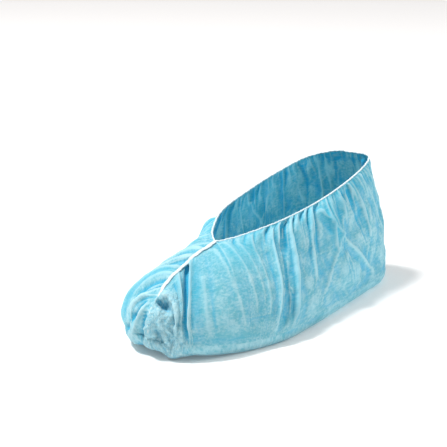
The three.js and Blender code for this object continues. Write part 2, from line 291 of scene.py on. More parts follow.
def ring_normals(points):
    around = np.roll(points, -1, axis=0) - np.roll(points, 1, axis=0)
    down = np.gradient(points, axis=1)
    normal = np.cross(down, around)
    length = np.linalg.norm(normal, axis=2, keepdims=True)
    normal = np.where(length > SMALL, normal / np.maximum(length, SMALL), 0)
    for _ in range(3):
        normal = normal + 0.5 * (np.roll(normal, 1, axis=0) + np.roll(normal, -1, axis=0))
        normal /= np.maximum(np.linalg.norm(normal, axis=2, keepdims=True), SMALL)
    return normal


# The toe's lowest cloth isn't drawn under the boot: it hangs in a bunch in front of the lifted toe.
TOE_HANG = 6.0
HANG_PLACE, HANG_WIDTH, HANG_ROWS = 0.14, 0.085, 9.0  # as shares of a side, and in rows
FLOOR_GAP = 0.2
hang_round = np.exp(-((ring_around * ring_side - HANG_PLACE) / HANG_WIDTH)**2)
hang_down = np.exp(-((np.arange(form.shape[1]) - WALL_ROWS - 1) / HANG_ROWS)**2)
hang = hang_round[:, None] * hang_down[None, :]
form[..., 2] = np.maximum(form[..., 2] - TOE_HANG * hang, FLOOR_Z + FLOOR_GAP)
form_normal = ring_normals(form)

# %% [markdown]
# ## The folds
# A fold needs cloth to spare. Some folds have names: they are the ones that anybody would draw, such as
# the two straight pleats on the side and the tuck beside the toe. The rest are the gathers, which the elastic
# makes by rule: close together at the hem, and fewer and wider further down. Both kinds are heights on the
# grid here; the solver in the next step turns them into cloth.

# %% The named folds: side, column, drift, from, to, width and height in millimetres
# A column's number is the share of the side at which it leaves the top edge; drift moves a fold across the
# columns as it runs down.
FOLDS = {
    "toe_notch": (1, 0.118, 0.034, -0.04, 0.50, 2.6, -5.0),
    "toe_tuck": (1, 0.118, 0.054, 0.06, 1.0, 2.4, -3.2),
    "toe_tuck_lip": (1, 0.140, 0.052, -0.04, 1.0, 2.0, 4.4, 1),
    "toe_lip_valley": (1, 0.195, 0.01, 0.10, 1.0, 3.4, -2.2),
    "toe_upper_pleat": (1, 0.225, 0.01, 0.03, 1.0, 1.8, 3.0, -1),
    "toe_pleat_valley": (1, 0.262, 0.0, 0.0, 1.0, 2.8, -4.0),
    "toe_pleat": (1, 0.280, -0.01, 0.0, 1.0, 1.8, 4.2, 1),
    "toe_hollow": (1, 0.335, 0.0, 0.05, 0.95, 9.0, -0.5),
    "side_pleat": (1, 0.530, 0.0, 0.0, 1.0, 1.6, 3.8, -1),
    "side_channel": (1, 0.557, 0.0, 0.02, 1.0, 5.0, -3.2),
    "side_ridge": (1, 0.582, 0.0, 0.0, 1.0, 1.6, 4.2, 1),
    "quarter_pleat": (1, 0.650, -0.01, 0.02, 0.75, 1.8, 3.0, 1),
    "quarter_line": (1, 0.700, 0.01, 0.0, 0.55, 2.2, 3.0),
    "heel_quarter_pleat": (1, 0.80, 0.01, 0.0, 0.6, 2.2, 3.0),
    "heel_pleat": (1, 0.875, 0.01, 0.0, 0.75, 2.4, 3.0),
    "heel_back_pleat": (1, 0.95, 0.0, 0.0, 0.5, 2.6, 2.6),
    "vamp_tuck": (-1, 0.17, 0.0, 0.0, 0.95, 3.0, -4.5),
    "vamp_front_pleat": (-1, 0.135, 0.0, 0.0, 0.95, 2.0, 4.2, -1),
    "vamp_pleat": (-1, 0.24, 0.0, 0.0, 1.0, 2.2, 4.8, -1),
    "vamp_valley": (-1, 0.275, 0.0, 0.0, 0.95, 3.2, -4.0),
    "instep_pleat": (-1, 0.34, 0.0, 0.0, 1.0, 2.2, 4.6, -1),
    "inner_pleat": (-1, 0.52, 0.0, 0.0, 0.9, 2.2, 3.4),
    "inner_valley": (-1, 0.56, 0.0, 0.02, 0.9, 4.4, -2.8),
    "inner_ridge": (-1, 0.62, 0.0, 0.0, 1.0, 2.2, 3.6),
    "inner_heel_pleat": (-1, 0.82, 0.0, 0.0, 0.8, 2.2, 3.4),
    "inner_back_pleat": (-1, 0.92, 0.0, 0.0, 0.6, 2.6, 2.8),
}

# %% The drag lines, in the same terms
# They are where the cloth is pulled tight from one point to another. They take no spare cloth, so the
# solver doesn't get them: they are laid on after it.
DRAG_LINES = {
    "notch": (1, 0.118, 0.034, -0.06, 0.42, 2.2, -3.4),
    "notch_edge": (1, 0.138, 0.052, -0.06, 1.0, 1.6, 2.2, 1),
    "notch_side": (1, 0.092, 0.015, -0.06, 0.5, 2.0, 1.4, -1),
    "pleat_edge": (1, 0.280, -0.01, 0.0, 1.0, 1.4, 1.6, 1),
    "pleat_shade": (1, 0.266, -0.01, 0.0, 1.0, 2.0, -2.0),
    "vamp_edge": (-1, 0.235, 0.0, 0.0, 1.0, 1.8, 1.6),
    "vamp_shade": (-1, 0.265, 0.0, 0.0, 1.0, 2.4, -1.8),
    "instep_shade": (-1, 0.31, 0.0, 0.0, 1.0, 2.4, -1.8),
    "apex_crease": (1, 0.398, 0.05, 0.02, 0.85, 2.2, 1.2),
    "apex_line": (1, 0.43, 0.05, 0.02, 0.8, 2.0, 0.8),
    "ball_line": (1, 0.465, 0.03, 0.03, 0.95, 2.2, 1.2),
    "ball_low_line": (1, 0.50, 0.02, 0.25, 1.0, 2.6, -1.0),
    "forefoot_line": (1, 0.365, 0.03, 0.05, 0.95, 2.0, 0.8),
    "forefoot_low_line": (1, 0.315, 0.01, 0.30, 1.0, 2.2, 0.9),
    "falling_crease": (1, 0.665, 0.15, 0.08, 0.99, 2.3, 1.9),
    "falling_valley": (1, 0.648, 0.152, 0.12, 0.95, 4.0, -0.6),
    "crossing_crease": (1, 0.775, -0.13, 0.22, 0.95, 2.3, 1.7),
    "crossing_valley": (1, 0.797, -0.13, 0.26, 0.9, 4.0, -0.5),
    "heel_crease": (1, 0.86, -0.10, 0.30, 0.85, 2.4, 1.2),
    "inner_crease": (-1, 0.68, 0.13, 0.15, 0.9, 2.6, 2.0),
    "inner_crossing": (-1, 0.80, -0.12, 0.2, 0.85, 2.6, 1.8),
}

print(len(FOLDS), "named folds and", len(DRAG_LINES), "drag lines")

# %% Fold heights on the grid
FOLD_SHARPNESS = 1.15  # 2 is a soft swell, 1 is a knife edge
HEM_HOLD, SEAM_HOLD = 3.0, 5.0  # millimetres over which the stitching keeps the cloth flat
random = np.random.default_rng(11)
share_step = np.abs(np.roll(ring_around, -1) - np.roll(ring_around, 1))
share_step[0] = 2 * side_around[1]
share_step[SIDE_COLUMNS] = 2 * (1 - side_around[-2])
around_step = np.linalg.norm(np.roll(form, -1, axis=0) - np.roll(form, 1, axis=0), axis=2)
LEAST_LENGTH = 120
share_length = np.maximum(around_step / share_step[:, None], LEAST_LENGTH)  # millimetres for a whole side


def smooth_step(share):
    return share * share * (3 - 2 * share)


def fade(value, start, end, soft_start=0.05, soft_end=0.22):
    """0 outside start and end, 1 well inside them."""
    rise = np.clip((value - start) / soft_start, 0, 1)
    fall = np.clip((end - value) / soft_end, 0, 1)
    return smooth_step(rise) * smooth_step(fall)


GENTLE, STEEP = 2.6, 0.75  # how far a lying fold spreads on either side, against an upright one


def fold_height(side, column, drift, start, end, width, height, lies=0, widen=0.0):
    """A fold's height on the grid. One that lies towards the heel (1) or the toe (-1) is steep behind."""
    middle = column + drift * down_share
    across = (ring_around[:, None] - middle[None, :]) * share_length
    gentle = np.where(across * lies > 0, GENTLE, STEEP) if lies else 1.0
    across = np.abs(across / (width * gentle * (1 + widen * down_share[None, :])))
    ridge = np.exp(-across**FOLD_SHARPNESS) * height * fade(down_share, start, end)[None, :]
    return np.where(ring_side[:, None] == side, ridge, 0)


# %% Gathers by rule
VALLEY_SHARE = 0.6  # most gathers are creases between puffs; the rest stand up as pleats
VALLEY_DEPTH, PLEAT_HEIGHT = -1.0, 0.9
GATHER_START = -0.06  # above the edge, so that the fade in is over before the cloth begins
GATHER_DRIFT, GATHER_STEP, GATHER_WIDTH, GATHER_WIDEN = 0.035, (0.6, 1.4), (0.24, 0.34), 1.6


def gathers(side, start, end, spacing, reach, height):
    """Pleats by rule, at random steps along the top edge from start to end; spacing is in millimetres."""
    total = np.zeros(form.shape[:2])
    place, count = start, 0
    while place < end:
        step = spacing / np.interp(place, side_around, share_length[:SIDE_COLUMNS + 1, 0])
        drop = random.uniform(*reach)
        drift = random.uniform(-GATHER_DRIFT, GATHER_DRIFT)
        tall = random.uniform(*height) * (VALLEY_DEPTH if random.random() < VALLEY_SHARE else PLEAT_HEIGHT)
        width = random.uniform(*GATHER_WIDTH) * spacing
        total += fold_height(side, place, drift, GATHER_START, drop, width, tall, 0, GATHER_WIDEN)
        place += step * random.uniform(*GATHER_STEP)
        count += 1
    return total, count


# %% All folds together
height = sum(fold_height(*fold) for fold in FOLDS.values())
HEM_GATHERS = [  # side, start, end, spacing, reach, height
    (1, 0.385, 0.50, 4.5, (0.10, 0.28), (0.8, 1.6)),
    (1, 0.50, 0.995, 6.0, (0.12, 0.42), (2.0, 3.8)),
    (1, 0.50, 0.995, 16.0, (0.35, 0.85), (1.0, 2.0)),
    (-1, 0.385, 0.995, 5.5, (0.12, 0.36), (1.4, 2.8)),
    (-1, 0.385, 0.995, 16.0, (0.35, 0.85), (1.0, 2.0)),
    (-1, 0.13, 0.38, 7.0, (0.5, 1.0), (1.4, 3.0)),
]
hem_puff = np.interp(down_share, [0, 0.06, 0.14, 0.5], [0.0, 1.5, 2.0, 0.0])
HEEL_FROM, HEEL_SOFT = 0.72, 0.12  # shares of a side: there the boot's heel fills the cloth
heel_near = np.clip((ring_around - HEEL_FROM) / HEEL_SOFT, 0, 1)
SEAM_PUFF = 0.55  # the cloth puffs up less beside the seam than under the hem
puff_round = np.where(ring_around > SEAM_SHARE, 1.0, SEAM_PUFF) * (1 - heel_near)
height += puff_round[:, None] * hem_puff[None, :]
for rule in HEM_GATHERS:
    extra, count = gathers(*rule)
    height += extra
    print(f"{count} gathers on side {rule[0]} from {rule[1]} to {rule[2]}")


# %% [markdown]
# ## Swells, facets and the toe
# Two kinds of unevenness are needed more than once. Swells are a sum of sine waves in random directions.
# Facets come from a jittered grid of centres: the difference between the distances to the nearest and the
# second nearest centre is zero on the line between two facets, and grows towards their middles. At the toe
# the cloth is bunched: creases fan out from the notch where the seam sinks in, and between the seam and the
# tuck it is crumpled.

# %% Slow swells
def swells(points, size, count, seed):
    """A smooth random field of about -1 to 1 whose swells are about size millimetres across."""
    draw = np.random.default_rng(seed)
    total = np.zeros(points.shape[:-1])
    for _ in range(count):
        direction = draw.normal(size=3)
        direction *= draw.uniform(0.7, 1.4) * math.pi / size / np.linalg.norm(direction)
        total += np.sin(points @ direction + draw.uniform(0, 2 * math.pi))
    return total / math.sqrt(count / 2) / 1.8  # 1.8 brings most of the field within -1 to 1


# %% Facets between creases
CELLS = 128  # the jittered centres repeat after so many cells
FAR = 9.0
CREASE_ROUND = 0.02  # softens the tip in the middle of a facet
WAVE, WAVE_TURNS = 0.35, 1.9  # the cells' columns wander by this share of a cell, this fast


def facets(across, down, cell_across, cell_down, seed):
    """0 on the creases, up to about 1 in the middle of a facet; all lengths in millimetres."""
    u, v = across / cell_across, down / cell_down
    u = u + WAVE * np.sin(v * WAVE_TURNS + seed)
    draw = np.random.default_rng(seed)
    jitter = draw.uniform(0.1, 0.9, (CELLS, CELLS, 2))
    cell_u, cell_v = np.floor(u).astype(int), np.floor(v).astype(int)
    nearest, second = np.full(u.shape, FAR), np.full(u.shape, FAR)
    for du in (-1, 0, 1):
        for dv in (-1, 0, 1):
            offset = jitter[(cell_u + du) % CELLS, (cell_v + dv) % CELLS]
            distance = np.hypot(cell_u + du + offset[..., 0] - u, cell_v + dv + offset[..., 1] - v)
            second = np.minimum(second, np.maximum(distance, nearest))
            nearest = np.minimum(nearest, distance)
    return second - np.sqrt(nearest**2 + CREASE_ROUND)


# %% Where the toe's bunch is
SWELL_HEIGHT, SWELL_SIZE = 1.6, 34
wall_fade = fade(down_share, 0.0, 1.0, 0.25, 0.2)[None, :]
height += SWELL_HEIGHT * swells(form, SWELL_SIZE, 14, 3) * wall_fade
form_x, form_y, form_z = form[..., 0], form[..., 1], form[..., 2]


def near(distance, reach, soft):
    """1 where distance is well below reach, 0 past it, with a step that is soft wide, all in one unit."""
    return np.clip((reach - distance) / soft, 0, 1)


toe_near = near(form_y, -132, 14) * near(np.abs(form_x - 2), 44, 16)
toe_near *= near(form_z, 60, 12) * (np.arange(form.shape[1]) < WALL_ROWS + 5)[None, :]
toe_near = smooth_step(toe_near)
bunch_half = np.interp(form_z, [8, 46], [17, 6])  # the bunch lies between the seam and the tuck
bunch_near = toe_near * near(np.abs(form_x - 9), bunch_half + 6, 8)

# %% The toe's fan of creases and its crumple
notch = seam_line.at(0.385)  # where the seam sinks in; the toe's creases fan out from here
fan_turn = np.degrees(np.arctan2(form_x - notch[0], notch[2] - form_z + 4))
fan_reach = np.hypot(form_x - notch[0], form_z - notch[2])
TOE_FAN = [  # degrees from straight down, to the left; width in degrees; height, from and to in millimetres
    (-72, 5, -2.4, 6, 60), (-56, 5, 2.6, 4, 60), (-40, 4, -2.0, 10, 60), (-27, 5, 1.8, 6, 60),
    (-14, 5, -2.6, 8, 60), (-2, 6, 2.4, 16, 60), (11, 5, -2.8, 18, 60), (22, 4, 2.0, 10, 60),
]
FAN_SOFT, FAN_SHARPNESS = 8, 1.2


def fan_height(turn, width, tall, start, end):
    fall = np.abs(fan_turn - turn) / width
    shown = near(start, fan_reach, FAN_SOFT) * near(fan_reach, end, FAN_SOFT)
    return np.exp(-fall**FAN_SHARPNESS) * tall * shown


fan = sum(fan_height(*crease) for crease in TOE_FAN)
crumple = 1.6 * facets(form_x, form_z, 13, 21, 5) - 1.2 * facets(form_x, form_z, 8, 12, 6)
TOE_CALM = 0.45  # the share of the ordinary folds that gives way to the toe's own
BESIDE_BUNCH = 0.3  # how much of the crumple there is beside the bunch
height *= 1 - TOE_CALM * toe_near
height += toe_near * (fan + crumple * (BESIDE_BUNCH + (1 - BESIDE_BUNCH) * bunch_near))
hold = np.where(ring_around > SEAM_SHARE, HEM_HOLD, SEAM_HOLD)
held_flat = np.clip(from_top / hold[:, None], 0, 1)
height *= smooth_step(held_flat)
print(f"fold heights from {height.min():.1f} to {height.max():.1f} mm")

# %% [markdown]
# ## Relaxing the cloth
# Heights alone make a bumpy wall, not cloth. Cloth keeps its length along both threads, so a fold that
# stands up has to draw its neighbours in, and spare cloth finds its own place. Blender's own cloth could
# do this, but it takes its lengths from one mesh in both directions, and here the spare cloth runs only
# round the boot: the elastic gathers it in that direction alone. So the sheet is relaxed as a grid of
# threads: each thread piece is pulled back to its length in turn, the hem, the seam and the sole's middle
# stay where they are, and the boot and the floor hold the cloth out.

# %% Thread lengths
outward = form_normal.copy()
start_points = form + outward * height[..., None]
start_points[..., 2] = np.maximum(start_points[..., 2], FLOOR_Z)


def ring_step(points, columns, rows):
    """The vectors from each point to the one some columns and rows further on."""
    moved = np.roll(points, -columns, axis=0)
    return moved[:, rows:] - points[:, :points.shape[1] - rows]


# how loosely the cloth lies, round each side: it is drawn smooth over the ball of the foot
side_soft = np.interp(ring_around, [0, 0.12, 0.24, 0.46, 0.58, 1.0], [0.8, 0.6, 0.15, 0.15, 0.8, 1.0])
side_soft = np.where(ring_side > 0, side_soft, np.maximum(side_soft, 0.5))
spare = 1.005 + (0.015 + 0.05 * np.clip(swells(form, 45, 12, 21), 0, 1)) * wall_fade * side_soft[:, None]
spare += 0.05 * toe_near
length_around = np.linalg.norm(ring_step(start_points, 1, 0), axis=2) * spare
SPARE_DOWN = 1.004
length_down = np.linalg.norm(ring_step(form, 0, 1), axis=2) * SPARE_DOWN
print(f"cloth round the hem: {length_around[:, 1][ring_around > SEAM_SHARE].sum():.0f} mm")


def pull(points, free, columns, rows, lengths, stiffness, only_push=False):
    """Brings every pair that is columns and rows apart towards its length, in two passes that don't meet."""
    count, height_rows = points.shape[0], points.shape[1]
    step = columns if columns else rows
    for turn in (0, 1):
        if columns:
            first = np.arange(count)[(np.arange(count) // step) % 2 == turn]
            a = (first[:, None], np.arange(height_rows - rows)[None, :])
        else:
            first = np.arange(height_rows - rows)
            first = first[(first // step) % 2 == turn]
            a = (np.arange(count)[:, None], first[None, :])
        b = ((a[0] + columns) % count, a[1] + rows)
        between = points[b] - points[a]
        length = np.maximum(np.linalg.norm(between, axis=2), NUDGE)
        excess = length - lengths[a]
        if only_push:
            excess = np.minimum(excess, 0)
        weight_a, weight_b = free[a], free[b]
        weight = np.maximum(weight_a + weight_b, NUDGE)
        move = between * (stiffness * excess / length / weight)[..., None]
        points[a] += move * weight_a[..., None]
        points[b] -= move * weight_b[..., None]


# %% The solver's rounds
BEND_ROUND, BEND_DOWN = 0.78, 0.985  # how much of its length a fold may lose before it pushes back
LET_IN, LET_IN_TOE, LET_IN_HEM = 2.5, 5.5, 1.2  # millimetres that the boot lets the cloth in
LET_OUT, HEEL_TIGHT = 7.5, 5.0  # millimetres that the cloth may stand off, and how much less at the heel
HEM_ROWS = 4
WEIGHT = 0.004  # millimetres that the cloth sinks in a round
THREAD, BIAS, BEND_STIFF_ROUND, BEND_STIFF_DOWN = 0.9, 0.15, 0.12, 0.25


def relax(points, rounds):
    free = np.ones(points.shape[:2])
    free[:, 0] = 0
    free[:, -1] = 0
    free[0] = 0
    around = ring_step(start_points, 1, 0)[:, :-1]
    down = ring_step(form, 0, 1)
    grown_around = around * spare[:, :-1, None]
    slant = np.linalg.norm(grown_around + np.roll(down, -1, axis=0), axis=2)
    slant_back = np.linalg.norm(down - grown_around, axis=2)
    full = np.zeros(points.shape[:2])
    down_lengths = full.copy()
    down_lengths[:, :-1] = length_down
    slant_lengths, slant_back_lengths = full.copy(), full.copy()
    slant_lengths[:, :-1] = slant
    slant_back_lengths[:, :-1] = slant_back
    bend_lengths = (length_around + np.roll(length_around, -1, axis=0)) * BEND_ROUND
    bend_down = full.copy()
    bend_down[:, :-2] = (length_down[:, :-1] + length_down[:, 1:]) * BEND_DOWN
    inset = np.full(points.shape[:2], LET_IN)
    inset += LET_IN_TOE * near(ring_around[:, None], 0.24, 0.06)  # the boot doesn't fill the toe
    inset[:, :HEM_ROWS] = LET_IN_HEM
    proud_most = LET_OUT - HEEL_TIGHT * heel_near[:, None]
    for _ in range(rounds):
        points[..., 2] -= WEIGHT * free
        pull(points, free, 1, 0, length_around, THREAD)
        pull(points, free, 0, 1, down_lengths, THREAD)
        pull(points, free, 1, 1, slant_lengths, BIAS)
        flipped = points[:, ::-1]
        pull(flipped, free[:, ::-1], 1, 1, np.roll(slant_back_lengths, 1, axis=1)[:, ::-1], BIAS)
        pull(points, free, 2, 0, bend_lengths, BEND_STIFF_ROUND, only_push=True)
        pull(points, free, 0, 2, bend_down, BEND_STIFF_DOWN, only_push=True)
        proud = ((points - form) * outward).sum(axis=2)
        held = np.clip(proud, -inset, proud_most)
        points += outward * ((held - proud) * free)[..., None]
        points[..., 2] = np.maximum(points[..., 2], FLOOR_Z)
    return points


ROUNDS = 80
cloth = relax(start_points.copy(), ROUNDS)
moved = np.linalg.norm(cloth - start_points, axis=2)
print(f"the cloth moved by {moved.mean():.2f} mm on average and {moved.max():.1f} mm at most")

# %% [markdown]
# ## Crinkles
# Spunbond cloth doesn't drape, it crinkles: flat facets between hard little creases, because the melted
# dots can't slide. A crinkle is too small to change the sheet's length, so it is laid on after the solver,
# with the same facets as the toe's crumple, and so are the drag lines.


# %% Crinkles on the relaxed sheet
SHEET_ROUND = 373.0  # millimetres of a side, from toe to heel
ring_place = np.where(ring_side > 0, ring_around, 2 - ring_around)[:, None] * SHEET_ROUND
ring_place = np.broadcast_to(ring_place, from_top.shape)
CRINKLES = [  # cell round, cell down, height in millimetres, share at the toe, seed
    (21.0, 40.0, 2.0, 0.0, 41),
    (11.0, 22.0, -0.9, 0.0, 42),
    (5.0, 10.0, 0.4, 1.0, 43),
]
wrinkles = np.zeros(from_top.shape)
for cell_round, cell_fall, tall, toe_share, seed in CRINKLES:
    strength = side_soft[:, None] * (1 - toe_near) + toe_share * toe_near
    wrinkles += tall * strength * facets(ring_place, from_top, cell_round, cell_fall, seed)
STITCH_HOLD, STITCH_SOFT = 1.0, 6.0  # millimetres from the stitching with no crinkle, and to full height
stitched = near(STITCH_HOLD, from_top, STITCH_SOFT) * near(down_share, 1.0, 0.05)[None, :]
crumpled = 0.25 * toe_near + 0.75 * bunch_near
wrinkles += toe_near * 0.45 * fan
wrinkles += crumpled * 2.0 * facets(form_x, form_z, 9, 14, 44)
wrinkles -= crumpled * 1.3 * facets(form_x + 0.4 * form_z, form_z, 5, 9, 45)
wrinkles += sum(fold_height(*line) for line in DRAG_LINES.values())
SINK, HEEL_SINK = 0.5, 0.9  # brings the crinkles' middle back to the sheet
wrinkles -= SINK + HEEL_SINK * heel_near[:, None]
wrinkles *= stitched
SLIT_DEPTH = 4.0  # a small hole between the toe's folds
slit = np.exp(-((form_x - 15.5) / 2.4)**2 - ((form_z - 14) / 6.5)**2)
wrinkles -= SLIT_DEPTH * slit * toe_near
cloth += ring_normals(cloth) * wrinkles[..., None]
print(f"crinkles from {wrinkles.min():.2f} to {wrinkles.max():.2f} mm")

# %% [markdown]
# ## From grid to mesh
# The ring of columns becomes one mesh. Its two sides share the seam, the toe and the sole's middle, so the
# doubles there are merged. A UV map keeps the place of each point on the flat sheet, in metres, and an
# attribute keeps how deep in a fold it lies: both are what the material reads later.

# %% Mesh helper
FLAT_LENGTH, FLAT_HALF_WIDTH = 0.400, 0.150


def new_object(name, vertices, faces):
    mesh = bpy.data.meshes.new(name)
    mesh.from_pydata([tuple(v) for v in vertices], [], [tuple(f) for f in faces])
    mesh.validate()
    piece = bpy.data.objects.new(name, mesh)
    bpy.context.scene.collection.objects.link(piece)
    return piece


def apply_modifiers(piece):
    bpy.context.view_layer.update()
    depsgraph = bpy.context.evaluated_depsgraph_get()
    mesh = bpy.data.meshes.new_from_object(
        piece.evaluated_get(depsgraph), preserve_all_data_layers=True, depsgraph=depsgraph,
    )
    piece.modifiers.clear()
    piece.data = mesh


def shade_smooth(piece):
    piece.data.polygons.foreach_set("use_smooth", [True] * len(piece.data.polygons))


def ring_blur(values, times):
    for _ in range(times):
        values = (values + np.roll(values, 1, axis=0) + np.roll(values, -1, axis=0)) / 3
        inner = values.copy()
        inner[:, 1:-1] = (values[:, 1:-1] + values[:, :-2] + values[:, 2:]) / 3
        values = inner
    return values


# %% The cloth's mesh, its map and its shades
WIDE_BLUR, FINE_BLUR = 14, 3  # rounds of blur
FOLD_DEPTH, CREASE_DEPTH, LOOSE_DEPTH = 1.5, 0.35, 5.0  # millimetres that count as a full shade


def build_cloth(points):
    columns, rows = points.shape[:2]
    index = np.arange(columns * rows).reshape(columns, rows)
    # the seam, the toe and the sole's middle: a right column takes the points of its left twin
    mirror = (columns - np.arange(columns)) % columns
    right = ring_side < 0
    index[right, -1] = index[mirror[right], -1]
    on_seam = right & (ring_around <= SEAM_SHARE + NUDGE)
    index[on_seam, 0] = index[mirror[on_seam], 0]
    index[0, 1:WALL_ROWS + 1] = index[0, 0]
    faces, corners = [], []
    for i in range(columns):
        following = (i + 1) % columns
        for j in range(rows - 1):
            quad = [(i, j), (i, j + 1), (following, j + 1), (following, j)]
            seen, kept = set(), []
            for c in quad:
                if index[c] not in seen:
                    seen.add(index[c])
                    kept.append(c)
            if len(kept) > 2:
                faces.append([index[c] for c in kept])
                corners.append(kept)
    used = sorted({v for face in faces for v in face})
    renumber = {v: k for k, v in enumerate(used)}
    flat = points.reshape(-1, 3)
    piece = new_object("shoe_cover_cloth", flat[used] * MM, [[renumber[v] for v in face] for face in faces])
    uv = piece.data.uv_layers.new(name="flat_sheet")
    place = []
    for kept in corners:
        half_turn = kept[0][0] == columns - 1
        for i, j in kept:
            around = 0.0 if (half_turn and i == 0) else ring_around[i]
            out = ring_side[kept[0][0]] * (1 - j / (rows - 1))
            place.append((around * FLAT_LENGTH, out * FLAT_HALF_WIDTH))
    uv.data.foreach_set("uv", np.array(place).ravel())
    depth = ((points - form) * outward).sum(axis=2)
    under_hem = np.where(ring_around[:, None] > SEAM_SHARE + 0.06, 0.55 * np.exp(-from_top / 16), 0)
    # fold and crease drive the painted shade in hollows and pinches and the painted highlight on ridges and
    # crests; bunch drives the painted highlight and painted crack shade at the toe
    shades = {
        "fold": (depth - ring_blur(depth, WIDE_BLUR)) / FOLD_DEPTH * (1 - 0.75 * bunch_near),
        "crease": (depth - ring_blur(depth, FINE_BLUR)) / CREASE_DEPTH * (1 - 0.6 * bunch_near),
        "loose": (ring_blur(depth, FINE_BLUR) / LOOSE_DEPTH + under_hem) * (1 - toe_near),
        "bunch": bunch_near,
    }
    for label, values in shades.items():
        lie = np.clip(values, -1, 1)
        attribute = piece.data.attributes.new(label, "FLOAT", "POINT")
        attribute.data.foreach_set("value", lie.reshape(-1)[used])
    return piece


cover = build_cloth(cloth)
shade_smooth(cover)
print("cloth mesh:", len(cover.data.vertices), "points,", len(cover.data.polygons), "faces")

# %% The sheet's thickness
CLOTH_THICKNESS = 0.00035
solid = cover.modifiers.new("thickness", "SOLIDIFY")
solid.thickness = CLOTH_THICKNESS
solid.offset = -1.0
solid.use_rim = True
apply_modifiers(cover)
shade_smooth(cover)
print("with its thickness:", len(cover.data.polygons), "faces")


# %% [markdown]
# ## Materials
# Spunbond cloth is a felt of endless threads, melted together at small dots in rows. Close to, it shows
# the dots and the wandering threads; from a step away it is a soft blue with pale and dark clouds, and it
# glows where light comes through. Painted shade deepens the blue in the hollows of the folds, and painted
# highlights pale their ridges.
# Thread and cloudiness are used by more than one finish, so they are a shader group; the dots are another.

# %% Shader helpers
def add_node(tree, kind, place=(0, 0), **values):
    node = tree.nodes.new(kind)
    node.location = place
    for key, value in values.items():
        setattr(node, key, value)
    return node


def new_group(name, inputs, outputs):
    group = bpy.data.node_groups.new(name, "ShaderNodeTree")
    for label, kind, default in inputs:
        socket = group.interface.new_socket(name=label, in_out="INPUT", socket_type=kind)
        if default is not None:
            socket.default_value = default
    for label, kind in outputs:
        group.interface.new_socket(name=label, in_out="OUTPUT", socket_type=kind)
    return group, group.nodes.new("NodeGroupInput"), group.nodes.new("NodeGroupOutput")


def math_node(tree, operation, first, second=None, clamp=False):
    node = add_node(tree, "ShaderNodeMath", operation=operation, use_clamp=clamp)
    for socket, value in zip(node.inputs, (first, second)):
        if value is None:
            continue
        if isinstance(value, (int, float)):
            socket.default_value = value
        else:
            tree.links.new(value, socket)
    return node.outputs[0]


def times(tree, first, second, clamp=False):
    return math_node(tree, "MULTIPLY", first, second, clamp)


def lifted(tree, value, start, gain):
    """0 below start, then rising by gain, up to 1."""
    return times(tree, math_node(tree, "SUBTRACT", value, start), gain, clamp=True)


def bump_node(tree, height, strength, distance, below=None):
    node = add_node(tree, "ShaderNodeBump")
    node.inputs["Strength"].default_value = strength
    node.inputs["Distance"].default_value = distance
    tree.links.new(height, node.inputs["Height"])
    if below is not None:
        tree.links.new(below, node.inputs["Normal"])
    return node.outputs[0]


def attribute_node(tree, name):
    return add_node(tree, "ShaderNodeAttribute", attribute_name=name).outputs["Fac"]


def noise_node(tree, vector, scale, detail=2.0, roughness=0.5, distortion=0.0):
    node = add_node(tree, "ShaderNodeTexNoise")
    node.inputs["Scale"].default_value = scale
    node.inputs["Detail"].default_value = detail
    node.inputs["Roughness"].default_value = roughness
    node.inputs["Distortion"].default_value = distortion
    tree.links.new(vector, node.inputs["Vector"])
    return node.outputs["Fac"]


def mix_color(tree, factor, first, second):
    node = add_node(tree, "ShaderNodeMix", data_type="RGBA")
    for socket, value in ((node.inputs[0], factor), (node.inputs[6], first), (node.inputs[7], second)):
        if isinstance(value, bpy.types.NodeSocket):
            tree.links.new(value, socket)
        else:
            socket.default_value = value
    return node.outputs[2]


def stretched(tree, vector, x, y, z=1.0, turn=0.0):
    node = add_node(tree, "ShaderNodeMapping")
    node.inputs["Scale"].default_value = (x, y, z)
    node.inputs["Rotation"].default_value = (0, 0, turn)
    tree.links.new(vector, node.inputs["Vector"])
    return node.outputs[0]


# %% Group: felted threads, from a vector in metres
def make_thread_felt():
    group, given, result = new_group(
        "thread_felt", [("Vector", "NodeSocketVector", None)],
        [("Threads", "NodeSocketFloat"), ("Clouds", "NodeSocketFloat")],
    )
    vector = given.outputs["Vector"]
    layers = []
    for turn, scale in ((0.35, 900.0), (-0.9, 1050.0), (1.7, 800.0)):
        layers.append(noise_node(group, stretched(group, vector, 0.12, 1.0, turn=turn), scale, 3.0, 0.6, 0.4))
    threads = math_node(group, "MAXIMUM", math_node(group, "MAXIMUM", layers[0], layers[1]), layers[2])
    clouds = noise_node(group, vector, 70.0, 5.0, 0.62, 0.3)
    group.links.new(threads, result.inputs["Threads"])
    group.links.new(clouds, result.inputs["Clouds"])
    return group


thread_felt = make_thread_felt()


# %% Group: melted bond dots in staggered rows, from the flat sheet's map
def make_bond_dots():
    group, given, result = new_group(
        "bond_dots", [("Vector", "NodeSocketVector", None), ("Pitch", "NodeSocketFloat", 0.0016)],
        [("Dots", "NodeSocketFloat")],
    )
    scale = math_node(group, "DIVIDE", 1.0, given.outputs["Pitch"])
    spread = add_node(group, "ShaderNodeVectorMath", operation="SCALE")
    group.links.new(given.outputs["Vector"], spread.inputs[0])
    group.links.new(scale, spread.inputs["Scale"])
    split = add_node(group, "ShaderNodeSeparateXYZ")
    group.links.new(spread.outputs[0], split.inputs[0])
    wave_x = math_node(group, "SINE", math_node(group, "MULTIPLY", split.outputs["X"], math.pi))
    wave_y = math_node(group, "SINE", math_node(group, "MULTIPLY", split.outputs["Y"], math.pi))
    product = math_node(group, "ABSOLUTE", math_node(group, "MULTIPLY", wave_x, wave_y))
    dots = math_node(group, "SMOOTH_MAX", math_node(group, "SUBTRACT", product, 0.45), 0.0)
    group.links.new(math_node(group, "MULTIPLY", dots, 1.8), result.inputs["Dots"])
    return group


bond_dots = make_bond_dots()
